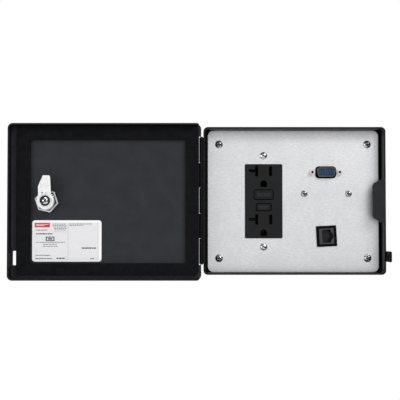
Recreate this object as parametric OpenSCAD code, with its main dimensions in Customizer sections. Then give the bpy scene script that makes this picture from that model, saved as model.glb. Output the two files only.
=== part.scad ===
// Panel interface port with a hinged, lockable door, shown open.
// It holds a duplex ground-fault outlet, a D-shaped data socket and a modular jack.
// +X is right, +Z is up and the front faces -Y. The origin is the centre of the
// mounting face: the rear of the panel gasket, where the housing meets its panel.

/* [Housing] */
// Outer width of the housing
body_w = 164; // [160:1:170]
// Outer height of the housing
body_h = 133; // [132:1:138]
// Wall thickness of the housing and the door
wall_t = 1.6; // [1.2:0.1:1.8]
// Corner radius of the housing
body_r = 4; // [3:0.5:6]
// Distance from the mounting face to the front rim
body_depth = 24; // [23:0.5:26]

/* [Face plate] */
// Width of the face plate
plate_w = 155.8; // [154:0.2:156]
// Height of the face plate
plate_h = 129.2; // [128:0.2:129.2]
// Corner radius of the face plate
plate_r = 5; // [3:0.5:8]
// Thickness of the face plate
plate_t = 2; // [1.5:0.1:2]
// Distance from the mounting face to the front of the face plate
plate_depth = 10; // [9:0.5:10.5]

/* [Door] */
// Closed door's reach beyond the housing on the latch side
door_overhang = 6.2; // [5.5:0.1:7]
// Height of the door
door_h = 139.6; // [139:0.2:144]
// How much lower the door sits than the housing
door_drop = 1.2; // [0:0.1:1.2]
// Corner radius of the door
door_r = 4.5; // [3:0.5:6]
// Depth of the door's turned edge, face included
door_depth = 11; // [9:0.5:12]
// Thickness of the door gasket
seal_t = 3; // [2:0.5:3]

/* [Outlet] */
// Sideways place of the outlet on the plate
outlet_x = -26.95; // [-30:0.05:-24]
// Width of the outlet's face
outlet_w = 33.3; // [33:0.1:33.4]
// Height of the outlet's face
outlet_h = 66.8; // [66.5:0.1:67]
// Distance between the two device screws
device_pitch = 83.3; // [83:0.1:84]
// Travel of the reset and test buttons
button_travel = 1.5; // [1:0.1:1.8]

/* [Data fittings] */
// Sideways place of the jack and the bracket
data_x = 30.35; // [28:0.05:32]
// Sideways place of the data socket
dsub_x = 29.9; // [28:0.05:32]
// Height of the data socket above the centre
dsub_z = 26.4; // [25:0.1:28]
// Distance between the data socket's jackscrews
jackscrew_pitch = 25; // [24.9:0.1:25.1]
// Height of the jack above the centre
jack_z = -31.9; // [-34:0.1:-30]
// Turn of the jack in its cut-out, in degrees
jack_tilt = 3; // [0:0.5:4]

/* [Latch] */
// Height of the lock above the centre
lock_z = -0.4; // [-3:0.1:3]
// Size across the flats of the lock's nut
lock_nut_af = 18.8; // [18:0.2:22]
// Reach of the cam from the lock's axis
cam_reach = 22.5; // [20:0.5:24]

/* [Hidden] */
$fn = 48;

eps = 0.01;
// Planes along Y, from the rim back to the panel
rim_y = -body_depth;
plate_y = -plate_depth;
plate_back_y = plate_y + plate_t;
gasket_t = 2;
flange_back_y = -gasket_t;
flange_front_y = flange_back_y - wall_t;

// Housing opening and fixings
opening_w = 121;
opening_h = 92;
plate_screw_x = 67.7;
plate_screw_z = 52;
stud_x = 72;
stud_z = 36;
stud_r = 2.5;
stud_root_r = 2.7;
stud_len = 16;

// Hinge
hinge_x = -83.7;
hinge_len = 113.2;
knuckle_r = 2;
leaf_t = 1;
pin_r = 1.2;
pin_fit = 0.04;
knuckles = 5;
knuckle_gap = 0.4;
knuckle_clear = 0.16;

// Door planes in its closed place; the door is drawn open, half a turn about the hinge
seal_gap = 0.3;
door_in_y = rim_y - seal_gap - seal_t;
door_out_y = door_in_y - wall_t;
hinge_y = door_out_y - leaf_t + knuckle_r;
door_x0 = hinge_x + 0.3;
door_x1 = body_w / 2 + door_overhang;
seal_x0 = -81;
seal_x1 = 81.4;
seal_z1 = 66.6;
panel_x0 = -69.3;
panel_x1 = 69.2;
panel_z0 = -55.9;
panel_z1 = 54.4;

// Padlock tab
tab_z = -50;
tab_h = 9.4;
tab_t = 2;
tab_tip_y = -39.5;
tab_hole_y = -34.4;
tab_hole_r = 2.6;
tab_r = 2;

// Keeper
keeper_x = 70.5;
keeper_root_h = 38.4;
keeper_flap_t = 4;

// Lock
lock_x = 54.4;
barrel_r = 7.9;
cam_y = rim_y + 5;
cam_t = 2;

// Outlet depths
face_y = plate_y - 1;
yoke_t = 1.1;
yoke_y = plate_back_y + yoke_t;
face_back_y = yoke_y + 2;
mid_back_y = 8;
back_y = 27;
// Back of the contact carriage: behind it are its contacts and the travel
carriage_back_y = mid_back_y - button_travel - 2.5;
back_w = 43.5;
back_h = 69.5;
reset_z = 5.9;
test_z = -5.5;
reset_w = 16.9;
reset_h = 8.2;
test_w = 13.1;
test_h = 6;
button_gap = 0.8;
button_r = 1.3;
button_proud = 0.7;
blade_x = 6.35;
slot_t = 2.9;
// Spring seat behind the buttons
bridge_y = -1.15;
bridge_t = 0.8;
stem_hole_r = 2.35;
// Upper and lower receptacle: height of the blade slots, then of the ground hole
receptacles = [[27.7, 15.9], [-16.7, -28.9]];
terminal_z = [-18, 18];
board_y = 21;
board_t = 1.6;

// Data socket and jack
dsub_w = 16.6;
dsub_hh = 8.2;
dsub_front_y = plate_y - 4.6;
dsub_frame_w = 19;
dsub_frame_h = 10.9;
dsub_frame_r = 3.4;
jack_w = 18.4;
jack_front_y = plate_y - 1.3;
bracket_pitch = 40.4;
bracket_z = 6.85;

// ---- shape helpers ----

// A flat outline in X and Z, given thickness from y0 (front) to y1 (back)
module slab(y0, y1) {
    translate([0, y1, 0]) rotate([90, 0, 0]) linear_extrude(y1 - y0) children();
}

// A round bar along Y
module rod(x, z, y0, y1, r) {
    translate([x, y1, z]) rotate([90, 0, 0]) cylinder(h = y1 - y0, r = r);
}

// A round bar along X
module rod_x(y, z, x0, x1, r) {
    translate([x0, y, z]) rotate([0, 90, 0]) cylinder(h = x1 - x0, r = r);
}

// A box given by its lowest and highest corners
module block(low, high) {
    translate(low) cube(high - low);
}

// Rectangle with round corners
module round_rect(w, h, r) {
    square([w - 2 * r, h], center = true);
    square([w, h - 2 * r], center = true);
    for (sx = [-1, 1], sz = [-1, 1])
        translate([sx * (w / 2 - r), sz * (h / 2 - r)]) circle(r);
}

// The same, given by its edges
module round_rect_at(x0, x1, z0, z1, r) {
    translate([(x0 + x1) / 2, (z0 + z1) / 2]) round_rect(x1 - x0, z1 - z0, r);
}

// Ring of wall thickness t inside a round-cornered rectangle
module rect_ring(w, h, r, t) {
    difference() {
        round_rect(w, h, r);
        round_rect(w - 2 * t, h - 2 * t, r - t);
    }
}

// D-shaped outline, wider at the top, with round corners
module d_outline(w, h, r) {
    slant = 10;
    drop = (h - 2 * r) * tan(slant);
    hull() for (sx = [-1, 1]) {
        translate([sx * (w / 2 - r), h / 2 - r]) circle(r, $fn = 24);
        translate([sx * (w / 2 - r - drop), -h / 2 + r]) circle(r, $fn = 24);
    }
}

// Domed screw head, its flat side at y, facing -Y
module dome_head(x, z, y, r, h) {
    ball_r = (r * r + h * h) / (2 * h);
    translate([x, y, z]) rotate([90, 0, 0])
        intersection() {
            translate([0, 0, h - ball_r]) sphere(ball_r);
            cylinder(h = h + 1, r = r);
        }
}

// Cross recess for a head whose top is at y
module cross_recess(x, z, y, size, depth) {
    for (a = [0, 90])
        translate([x, y, z]) rotate([0, a, 0])
            translate([-size / 2, -1, -size / 8]) cube([size, depth + 1, size / 4]);
}

// Screw with a domed, cross-recessed head and a plain shank
module dome_screw(x, z, y, head_r, head_h, shank_r, tip_y) {
    difference() {
        dome_head(x, z, y, head_r, head_h);
        cross_recess(x, z, y - head_h, head_r * 1.25, head_h * 0.6);
    }
    rod(x, z, y - eps, tip_y, shank_r);
}

// Coil spring along Y as a stack of thin rings joined by a fine core wire
module ring_spring(x, z, y0, y1, r, wire) {
    turns = 7;
    step = (y1 - y0 - wire) / (turns - 1);
    for (i = [0 : turns - 1])
        slab_ring(x, z, y0 + i * step, wire, r);
    for (a = [0, 180])
        translate([x + (r - wire / 2) * cos(a), y0, z - wire / 2])
            translate([-wire / 2, 0, 0]) cube([wire, y1 - y0, wire]);
}

module slab_ring(x, z, y, t, r) {
    translate([x, y + t, z]) rotate([90, 0, 0]) difference() {
        cylinder(h = t, r = r);
        translate([0, 0, -1]) cylinder(h = t + 2, r = r - t);
    }
}

// Turns the closed door's parts to the open place in which they are drawn
module opened() {
    translate([hinge_x, hinge_y, 0]) rotate([0, 0, 180])
        translate([-hinge_x, -hinge_y, 0]) children();
}

// Places a thing at the outlet's centre line
module at_outlet() {
    translate([outlet_x, 0, 0]) children();
}

module corners(x, z) {
    for (sx = [-1, 1], sz = [-1, 1])
        translate([sx * x, 0, sz * z]) children();
}

// ---- housing ----

rivet_z = [-42, -14, 14, 42];
keeper_rivet_z = [-10, 10];
keeper_rivet_y = -15;
tab_rivet_y = [-17, -7];
leaf_rivet_y = -15;
rivet_r = 1.6;

module body_shell() {
    color([0.09, 0.09, 0.1]) difference() {
        union() {
            slab(rim_y, flange_back_y) rect_ring(body_w, body_h, body_r, wall_t);
            slab(flange_front_y, flange_back_y) difference() {
                round_rect(body_w - 1, body_h - 1, body_r - 0.5);
                round_rect(opening_w, opening_h, 3);
            }
        }
        corners(plate_screw_x, plate_screw_z) rod(0, 0, -8, 1, 2);
        corners(stud_x, stud_z) rod(0, 0, -8, 1, stud_root_r);
        block([body_w / 2 - 3, rim_y - 1, -keeper_root_h / 2],
              [body_w / 2 + 1, rim_y + wall_t, keeper_root_h / 2]);
        for (z = rivet_z) rod_x(leaf_rivet_y, z, -body_w / 2 - 1, -body_w / 2 + 3, rivet_r);
        for (z = keeper_rivet_z) rod_x(keeper_rivet_y, z, body_w / 2 - 3, body_w / 2 + 1, rivet_r);
        for (y = tab_rivet_y) rod_x(y, tab_z, body_w / 2 - 3, body_w / 2 + 1, rivet_r);
    }
}

module panel_gasket() {
    color([0.05, 0.05, 0.05]) slab(flange_back_y, 0) difference() {
        round_rect(body_w - 1, body_h - 1, body_r - 0.5);
        round_rect(opening_w, opening_h, 3);
        for (sx = [-1, 1], sz = [-1, 1]) {
            translate([sx * stud_x, sz * stud_z]) circle(stud_root_r + 0.1);
            translate([sx * plate_screw_x, sz * plate_screw_z]) circle(2.2);
        }
    }
}

module mounting_studs() {
    color("silver") corners(stud_x, stud_z) {
        rod(0, 0, flange_front_y - 1.4, flange_front_y, 4);
        rod(0, 0, flange_front_y - eps, 0, stud_root_r);
        rod(0, 0, -eps, stud_len - 1, stud_r);
        rod(0, 0, stud_len - 1 - eps, stud_len, stud_r - 0.6);
    }
}

module plate_standoffs() {
    color("silver") corners(plate_screw_x, plate_screw_z) difference() {
        slab(plate_back_y, flange_front_y) circle(4.2, $fn = 6);
        rod(0, 0, plate_back_y - 1, 1, 1.65);
    }
}

module face_plate() {
    color([0.82, 0.82, 0.83]) difference() {
        slab(plate_y, plate_back_y) difference() {
            round_rect(plate_w, plate_h, plate_r);
            translate([outlet_x, 0]) round_rect(outlet_w + 1, outlet_h + 1, 1.2);
            translate([dsub_x, dsub_z])
                round_rect(dsub_frame_w + 0.2, dsub_frame_h + 0.2, dsub_frame_r);
            translate([data_x, jack_z]) rotate(jack_tilt) square([15.4, 16.2], center = true);
        }
        corners(plate_screw_x, plate_screw_z) rod(0, 0, -20, 0, 2.2);
        for (s = [-1, 1]) {
            rod(outlet_x, s * device_pitch / 2, -20, 0, 2);
            rod(dsub_x + s * jackscrew_pitch / 2, dsub_z, -20, 0, 1.7);
            rod(data_x + s * bracket_pitch / 2, bracket_z, -20, 0, 1.8);
        }
    }
}

module plate_screws() {
    color("silver") corners(plate_screw_x, plate_screw_z)
        dome_screw(0, 0, plate_y, 3.65, 2.1, 1.65, flange_back_y);
}

// Outline of the keeper's flap, its corners cut back towards the wall
module keeper_outline() {
    edge = [[0, 13.4], [1, 15.8], [4, 17.6], [9.9, keeper_root_h / 2 - 0.2]];
    polygon(concat(
        [[body_w / 2, -keeper_root_h / 2], [body_w / 2, keeper_root_h / 2]],
        [for (i = [3 : -1 : 0]) [keeper_x + edge[i][0], edge[i][1]]],
        [for (p = edge) [keeper_x + p[0], -p[1]]]));
}

// Flap over the rim with a lip bent inwards, and a leg riveted inside the wall
module latch_keeper() {
    flap_in = keeper_x + 2.9;
    leg_in = body_w / 2 - wall_t;
    color([0.12, 0.12, 0.13]) difference() {
        union() {
            intersection() {
                slab(rim_y, rim_y + keeper_flap_t) keeper_outline();
                translate([0, 0, -keeper_root_h]) linear_extrude(2 * keeper_root_h) polygon([
                    [body_w / 2, rim_y], [flap_in, rim_y], [keeper_x, rim_y + 2.4],
                    [keeper_x, rim_y + keeper_flap_t], [keeper_x + 0.6, rim_y + keeper_flap_t],
                    [flap_in + 0.6, rim_y + wall_t], [body_w / 2, rim_y + wall_t]]);
            }
            block([leg_in - wall_t, rim_y + wall_t - eps, -keeper_root_h / 2],
                  [leg_in, keeper_rivet_y + 5, keeper_root_h / 2]);
        }
        for (z = keeper_rivet_z) rod_x(keeper_rivet_y, z, leg_in - 3, leg_in + 3, rivet_r);
    }
}

// Rivet along X through [x0, x1] with a domed head on the side that dir gives
module rivet_x(y, z, x0, x1, dir, head_r = 2.5, head_h = 1.1) {
    head_x = dir > 0 ? x1 : x0;
    ball_r = (head_r * head_r + head_h * head_h) / (2 * head_h);
    rod_x(y, z, x0 - (dir < 0 ? eps : 0), x1 + (dir > 0 ? eps : 0), rivet_r);
    translate([head_x, y, z]) rotate([0, dir * 90, 0]) intersection() {
        translate([0, 0, head_h - ball_r]) sphere(ball_r);
        cylinder(h = head_h + 1, r = head_r);
    }
}

module keeper_rivets() {
    color("silver") for (z = keeper_rivet_z)
        rivet_x(keeper_rivet_y, z, body_w / 2 - 2 * wall_t, body_w / 2, 1);
}

module padlock_tab() {
    color([0.08, 0.08, 0.09]) difference() {
        union() {
            block([body_w / 2, tab_tip_y + tab_r, tab_z - tab_h / 2],
                  [body_w / 2 + tab_t, -3, tab_z + tab_h / 2]);
            block([body_w / 2, tab_tip_y, tab_z - tab_h / 2 + tab_r],
                  [body_w / 2 + tab_t, -3, tab_z + tab_h / 2 - tab_r]);
            for (s = [-1, 1])
                rod_x(tab_tip_y + tab_r, tab_z + s * (tab_h / 2 - tab_r), body_w / 2,
                      body_w / 2 + tab_t, tab_r);
        }
        rod_x(tab_hole_y, tab_z, body_w / 2 - 1, body_w / 2 + tab_t + 1, tab_hole_r);
        for (y = tab_rivet_y) rod_x(y, tab_z, body_w / 2 - 1, body_w / 2 + tab_t + 1, rivet_r);
    }
}

module tab_rivets() {
    color([0.1, 0.1, 0.1]) for (y = tab_rivet_y)
        rivet_x(y, tab_z, body_w / 2 - wall_t, body_w / 2 + tab_t, 1);
}

// ---- hinge ----

seg_len = hinge_len / knuckles;

// Lower end of knuckle number i
function knuckle_z(i) = -hinge_len / 2 + i * seg_len + knuckle_gap / 2;

// Knuckle tube number i, closed place
module knuckle(i) {
    translate([hinge_x, hinge_y, knuckle_z(i)])
        cylinder(h = seg_len - knuckle_gap, r = knuckle_r);
}

module knuckle_bore() {
    translate([hinge_x, hinge_y, -hinge_len / 2 - 1]) cylinder(h = hinge_len + 2, r = pin_r + pin_fit);
}

module hinge_body_leaf() {
    x0 = -body_w / 2 - leaf_t;
    clear_y = hinge_y + knuckle_r + 0.5;
    color([0.08, 0.08, 0.09]) difference() {
        union() {
            block([x0, clear_y, -hinge_len / 2], [-body_w / 2, -8, hinge_len / 2]);
            for (i = [0 : 2 : knuckles - 1]) {
                knuckle(i);
                block([x0, hinge_y, knuckle_z(i)],
                      [-body_w / 2, clear_y + eps, knuckle_z(i + 1) - knuckle_gap]);
            }
        }
        knuckle_bore();
        for (z = rivet_z) rod_x(leaf_rivet_y, z, x0 - 1, -body_w / 2 + 1, rivet_r);
    }
}

module hinge_body_rivets() {
    color("silver") for (z = rivet_z)
        rivet_x(leaf_rivet_y, z, -body_w / 2 - leaf_t, -body_w / 2 + wall_t, -1, 2.4, 1);
}

module hinge_pin() {
    color("silver") translate([hinge_x, hinge_y, -hinge_len / 2 - 0.6])
        cylinder(h = hinge_len + 1.2, r = pin_r);
}

door_rivet_x = -75.5;

module hinge_door_leaf() {
    color([0.08, 0.08, 0.09]) opened() difference() {
        union() {
            block([hinge_x + knuckle_r + knuckle_clear, door_out_y - leaf_t, -hinge_len / 2],
                  [-70.5, door_out_y, hinge_len / 2]);
            for (i = [1 : 2 : knuckles - 1]) {
                knuckle(i);
                block([hinge_x, door_out_y - leaf_t, knuckle_z(i)],
                      [hinge_x + 2.7, door_out_y, knuckle_z(i + 1) - knuckle_gap]);
            }
        }
        knuckle_bore();
        for (z = rivet_z) rod(door_rivet_x, z, door_out_y - 2, door_out_y + 2, rivet_r);
    }
}

module hinge_door_rivets() {
    color("silver") opened() for (z = rivet_z) {
        rod(door_rivet_x, z, door_out_y - leaf_t - eps, door_in_y, rivet_r);
        dome_head(door_rivet_x, z, door_out_y - leaf_t, 2.4, 1);
    }
}

// ---- door ----

module door_outline(inset) {
    translate([0, -door_drop])
        round_rect_at(door_x0 + inset, door_x1 - inset, inset - door_h / 2, door_h / 2 - inset,
                      door_r - inset);
}

module door_shell() {
    knuckle_cut_x = hinge_x + knuckle_r + knuckle_clear;
    color([0.1, 0.1, 0.11]) opened() difference() {
        union() {
            slab(door_out_y, door_in_y) door_outline(0);
            difference() {
                slab(door_out_y + 0.5, door_out_y + door_depth) difference() {
                    door_outline(0);
                    door_outline(wall_t);
                }
                block([door_x0 - 1, door_in_y, -door_h / 2 - 1], [seal_x0 - 0.4, 0, door_h / 2 + 1]);
                // Square inner corners beside the hinge, which pass over the housing's corners
                block([door_x0 - 1, door_in_y, wall_t - door_h / 2 - door_drop],
                      [body_r - body_w / 2, 0, door_h / 2 - wall_t - door_drop]);
            }
        }
        block([door_x0 - 1, door_out_y - 1, -hinge_len / 2 - 0.8],
              [knuckle_cut_x, door_out_y + door_depth + 1, hinge_len / 2 + 0.8]);
        slab(door_out_y - 1, door_in_y + 1)
            translate([body_w / 2 + tab_t / 2 + 0.25, tab_z - 1.3]) round_rect(3.2, 12.8, 0.8);
        rod(lock_x, lock_z, door_out_y - 1, door_in_y + 1, barrel_r);
        for (z = rivet_z) rod(door_rivet_x, z, door_out_y - 1, door_in_y + 1, rivet_r);
    }
}

module door_gasket() {
    color([0.05, 0.05, 0.06]) opened() slab(door_in_y, door_in_y + seal_t) difference() {
        round_rect_at(seal_x0, seal_x1, -seal_z1, seal_z1, 3);
        round_rect_at(panel_x0, panel_x1, panel_z0, panel_z1, 1);
    }
}

module rating_label() {
    color([0.87, 0.87, 0.88]) opened() slab(door_in_y, door_in_y + 0.2)
        round_rect_at(5.6, 67.6, -54.5, -17.6, 2.7);
}

// ---- lock and latch ----

nut_y1 = door_in_y + 3.2;
washer_y1 = door_in_y + 0.8;
barrel_back_y = cam_y - 0.5;
plug_r = 5.2;
washer_top_y = cam_y + cam_t + 0.8;

module lock_barrel() {
    color("silver") opened() difference() {
        union() {
            rod(lock_x, lock_z, door_out_y, barrel_back_y, barrel_r);
            rod(lock_x, lock_z, door_out_y - 1.6, door_out_y, 10.5);
            rod(lock_x, lock_z, door_out_y - 2.6, door_out_y - 1.5, 9.4);
        }
        rod(lock_x, lock_z, door_out_y - 4, cam_y + 1, plug_r + 0.05);
    }
}

module lock_washer() {
    color("silver") opened() slab(door_in_y, washer_y1) translate([lock_x, lock_z]) difference() {
        circle(lock_nut_af / 2 - 0.5);
        circle(barrel_r + 0.02);
    }
}

module lock_nut() {
    color("silver") opened() slab(washer_y1, nut_y1) translate([lock_x, lock_z]) difference() {
        rotate(-47.9) circle(lock_nut_af / sqrt(3), $fn = 6);
        circle(barrel_r + 0.02);
    }
}

module lock_plug() {
    color("silver") opened() difference() {
        union() {
            rod(lock_x, lock_z, door_out_y - 2.4, cam_y, plug_r);
            rod(lock_x, lock_z, cam_y - 0.2, cam_y, 6.4);
            slab(cam_y - eps, cam_y + cam_t - 0.2) translate([lock_x, lock_z]) square(6.4, center = true);
        }
        block([lock_x - 3.6, door_out_y - 4, lock_z - 0.7], [lock_x + 3.6, door_out_y + 1, lock_z + 0.7]);
        rod(lock_x, lock_z, cam_y - 8, cam_y + 4, 1.9);
    }
}

module lock_cam() {
    color("silver") opened() slab(cam_y, cam_y + cam_t) translate([lock_x, lock_z]) difference() {
        polygon(concat(
            [[6.3, 5], [6.5, cam_reach - 9.8], [2.3, cam_reach], [-3.2, cam_reach],
             [-4.2, cam_reach - 1.2], [-5.1, 5]],
            [for (a = [135 : 6 : 399]) 7.6 * [cos(a), sin(a)]]));
        square(6.5, center = true);
        for (s = [-1, 1]) translate([0.9 + s * 1.7, 6.6]) circle(1);
    }
}

// Cup washer: a raised rim round the screw's head
module cam_washer() {
    color("silver") opened() difference() {
        rod(lock_x, lock_z, cam_y + cam_t, washer_top_y + 0.5, 5.8);
        rod(lock_x, lock_z, washer_top_y, washer_top_y + 1, 4.6);
        rod(lock_x, lock_z, cam_y, washer_top_y + 1, 2.1);
    }
}

// Screw with a domed head and a cross recess, which holds the cam on its plug
module cam_screw() {
    head_r = 3.5;
    head_h = 2.2;
    color("silver") opened() translate([lock_x, 0, lock_z]) difference() {
        union() {
            rod(0, 0, cam_y - 7, washer_top_y + eps, 1.9);
            translate([0, washer_top_y, 0]) rotate([180, 0, 0]) dome_head(0, 0, 0, head_r, head_h);
        }
        for (a = [45, 135]) translate([0, washer_top_y + head_h, 0]) rotate([0, a, 0])
            translate([-1.9, -1.5, -0.5]) cube([3.8, 2, 1]);
    }
}

// ---- outlet ----

// Blade slots and ground hole of one receptacle, as a flat outline
module receptacle_holes(slot_z, ground_z) {
    translate([-blade_x, slot_z]) square([slot_t, 10], center = true);
    translate([-blade_x - 3.6, slot_z]) square([7.2, slot_t - 0.2], center = true);
    translate([blade_x, slot_z]) square([slot_t, 9.2], center = true);
    translate([0, ground_z]) {
        circle(3.1);
        translate([-3.1, -2.9]) square([6.2, 2.9]);
    }
}

module outlet_face() {
    color([0.14, 0.14, 0.15]) at_outlet() difference() {
        union() {
            slab(face_y, face_y + 3) round_rect(outlet_w, outlet_h, 1);
            slab(face_y + 2.9, yoke_y + eps) difference() {
                round_rect(outlet_w, outlet_h, 1);
                round_rect(outlet_w - 3.2, outlet_h - 3.2, 1);
            }
            slab(yoke_y, face_back_y) difference() {
                round_rect(back_w, back_h, 5);
                round_rect(outlet_w - 3.2, outlet_h - 3.2, 1);
            }
        }
        slab(face_y - 1, face_y + 6) {
            for (r = receptacles) receptacle_holes(r[0], r[1]);
            translate([0, reset_z])
                round_rect(reset_w + 2 * button_gap, reset_h + 2 * button_gap, button_r + button_gap);
            translate([0, test_z])
                round_rect(test_w + 2 * button_gap, test_h + 2 * button_gap, button_r + button_gap);
        }
    }
}

module outlet_yoke() {
    color("silver") at_outlet() difference() {
        slab(plate_back_y, yoke_y) difference() {
            union() {
                round_rect(38, 106, 2);
                round_rect(42, 60, 2);
            }
            round_rect(outlet_w + 1.6, outlet_h + 1.6, 1.4);
        }
        for (s = [-1, 1]) {
            rod(0, s * device_pitch / 2, -20, 0, 1.5);
            for (t = [-1, 1]) rod(t * 11, s * 48, -20, 0, 1.8);
        }
    }
}

// Mid frame: a block behind the face with wells for the contacts and the moving carriage
module outlet_mid_frame() {
    color([0.2, 0.2, 0.22]) at_outlet() difference() {
        slab(face_back_y, mid_back_y) round_rect(back_w - 1, back_h - 1, 4);
        for (r = receptacles) slab(face_back_y - 1, mid_back_y - 2) {
            translate([-blade_x - 1.6, r[0]]) square([11, 11], center = true);
            translate([blade_x + 0.6, r[0]]) square([6.2, 10.4], center = true);
            translate([0, r[1]]) square([8.4, 8.4], center = true);
        }
        slab(face_back_y - 1, bridge_y) translate([0, 0.2]) square([21, 21.8], center = true);
        slab(bridge_y + bridge_t, mid_back_y + 1) translate([0, 0.2]) square([21, 21.8], center = true);
        for (z = [reset_z, test_z]) rod(0, z, bridge_y - 1, bridge_y + 2, stem_hole_r);
        for (sx = [-1, 1], sz = [-1, 1]) rod(sx * 18.4, sz * 31.5, -20, 20, 1.5);
    }
}

module outlet_back_body() {
    color([0.1, 0.1, 0.11]) at_outlet() difference() {
        slab(mid_back_y, back_y) round_rect(back_w, back_h, 5);
        difference() {
            slab(mid_back_y - 1, back_y - 1.8) round_rect(back_w - 4, back_h - 4, 3);
            corners(18.4, 31.5) rod(0, 0, mid_back_y - 2, back_y, 3.4);
            corners(12, 25) rod(0, 0, board_y + board_t, back_y, 1.6);
        }
        for (sx = [-1, 1], sz = [-1, 1]) {
            rod(sx * 18.4, sz * 31.5, mid_back_y - 1, back_y + 1, 1.5);
            rod(sx * 18.4, sz * 31.5, back_y - 1.6, back_y + 1, 2.8);
        }
        for (s = [-1, 1], z = terminal_z)
            block([s * 21 - 2, 12.7, z - 5], [s * 21 + 2, 20.3, z + 5]);
    }
}

// Spring clip that grips one blade: two leaves and a base
module blade_clip(x, z, h) {
    for (s = [-1, 1])
        block([x + s * 1.35 - 0.3, face_back_y + 1, z - h / 2],
              [x + s * 1.35 + 0.3, mid_back_y - 3, z + h / 2]);
    block([x - 1.65, mid_back_y - 3 - eps, z - h / 2], [x + 1.65, mid_back_y - 2, z + h / 2]);
}

module hot_contacts() {
    color("goldenrod") at_outlet() for (r = receptacles) blade_clip(blade_x, r[0], 7);
}

module neutral_contacts() {
    color("goldenrod") at_outlet() for (r = receptacles) {
        blade_clip(-blade_x, r[0], 7);
        block([-blade_x - 5.6, face_back_y + 1, r[0] - 1.8], [-blade_x - 1.6, mid_back_y - 3, r[0] - 1.2]);
        block([-blade_x - 5.6, face_back_y + 1, r[0] + 1.2], [-blade_x - 1.6, mid_back_y - 3, r[0] + 1.8]);
    }
}

module ground_contacts() {
    color("goldenrod") at_outlet() for (r = receptacles) difference() {
        rod(0, r[1], face_back_y + 1, mid_back_y - 2, 3.4);
        rod(0, r[1], face_back_y, mid_back_y - 3, 2.5);
        block([-0.4, face_back_y, r[1] - 4], [0.4, mid_back_y - 3, r[1] + 4]);
    }
}

module circuit_board() {
    color([0.1, 0.35, 0.2]) at_outlet() {
        block([-16, board_y, -28], [16, board_y + board_t, 28]);
        for (p = [[-10, -22], [2, -24], [10, -20], [-4, 23], [9, 24]])
            block([p[0] - 2.5, board_y - 2.4, p[1] - 1.6], [p[0] + 2.5, board_y + eps, p[1] + 1.6]);
        for (z = [-14, -9]) rod(12, z, board_y - 5.4, board_y + eps, 2);
    }
}

module sensing_coils() {
    color([0.6, 0.35, 0.15]) at_outlet() for (y = [board_y - 4.6, board_y - 9.6]) difference() {
        rod(-7, 15, y, y + 4.6, 6.4);
        rod(-7, 15, y - 1, y + 6, 2.8);
    }
}

solenoid_x0 = 2.5;
solenoid_x1 = 13;
solenoid_z = 15;
solenoid_y = 15.4;

module trip_solenoid() {
    color([0.55, 0.3, 0.12]) at_outlet() difference() {
        union() {
            rod_x(solenoid_y, solenoid_z, solenoid_x0, solenoid_x1, 4);
            for (x = [solenoid_x0, solenoid_x1 - 1])
                block([x, solenoid_y - 5, solenoid_z - 5], [x + 1, board_y, solenoid_z + 5]);
        }
        rod_x(solenoid_y, solenoid_z, solenoid_x0 - 1, solenoid_x1 + 1, 1.6);
    }
}

module solenoid_plunger() {
    color("silver") at_outlet() {
        rod_x(solenoid_y, solenoid_z, solenoid_x0 - 0.2, solenoid_x1 + 3.4, 1.54);
        rod_x(solenoid_y, solenoid_z, solenoid_x1 + 2.9, solenoid_x1 + 4, 2.4);
    }
}

module terminal_plates() {
    color("goldenrod") at_outlet() for (s = [-1, 1], z = terminal_z)
        difference() {
            block([min(s * 19.6, s * 20.8), 12.7, z - 5], [max(s * 19.6, s * 20.8), 20.3, z + 5]);
            rod_x(16.5, z, s * 20 - 3, s * 20 + 3, 1.9);
        }
}

// Terminal screw along X, its head outwards
module terminal_screw(s, y, z) {
    difference() {
        union() {
            rod_x(y, z, min(s * 18.2, s * 21), max(s * 18.2, s * 21), 1.9);
            rod_x(y, z, min(s * 20.8, s * 22.8), max(s * 20.8, s * 22.8), 3.6);
        }
        block([min(s * 22, s * 24), y - 0.5, z - 4], [max(s * 22, s * 24), y + 0.5, z + 4]);
    }
}

module terminal_screws() {
    color("goldenrod") at_outlet() for (s = [-1, 1], z = terminal_z) terminal_screw(s, 16.5, z);
}

module ground_screw() {
    color([0.2, 0.6, 0.3]) at_outlet() difference() {
        union() {
            block([-19, yoke_y, -44.5], [-10, yoke_y + 1, -36.5]);
            rod(-14.5, -40.5, yoke_y + 0.9, yoke_y + 7, 1.9);
            rod(-14.5, -40.5, yoke_y + 4.5, yoke_y + 6.4, 3.6);
        }
        block([-19, yoke_y + 5.6, -41], [-10, yoke_y + 8, -40]);
    }
}

module housing_screws() {
    color("silver") at_outlet() for (sx = [-1, 1], sz = [-1, 1]) difference() {
        union() {
            rod(sx * 18.4, sz * 31.5, face_back_y, back_y - 1.5, 1.45);
            rod(sx * 18.4, sz * 31.5, back_y - 1.6, back_y - 0.2, 2.6);
        }
        translate([sx * 18.4, back_y - 0.2, sz * 31.5]) for (a = [0, 90]) rotate([0, a, 0])
            translate([-1.6, -0.9, -0.35]) cube([3.2, 2, 0.7]);
    }
}

module device_screws() {
    color("silver") at_outlet() for (s = [-1, 1]) difference() {
        union() {
            dome_head(0, s * device_pitch / 2, plate_y, 3.4, 1.5);
            rod(0, s * device_pitch / 2, plate_y - eps, 2, 1.45);
        }
        translate([0, plate_y - 1.5, s * device_pitch / 2]) rotate([0, 25, 0])
            translate([-4, -1, -0.45]) cube([8, 1.8, 0.9]);
    }
}

// Buttons: cap, flange behind the face and a stem to the spring
module button(z, w, h, stem_w) {
    slab(face_y - button_proud, face_y + 3.6) translate([0, z]) round_rect(w, h, button_r);
    slab(face_y + 3.5, face_y + 4.5) translate([0, z]) square([w + 3.1, h + 2.3], center = true);
    block([-stem_w / 2, face_y + 4.4, z - 1.5], [stem_w / 2, -1, z + 1.5]);
}

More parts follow.
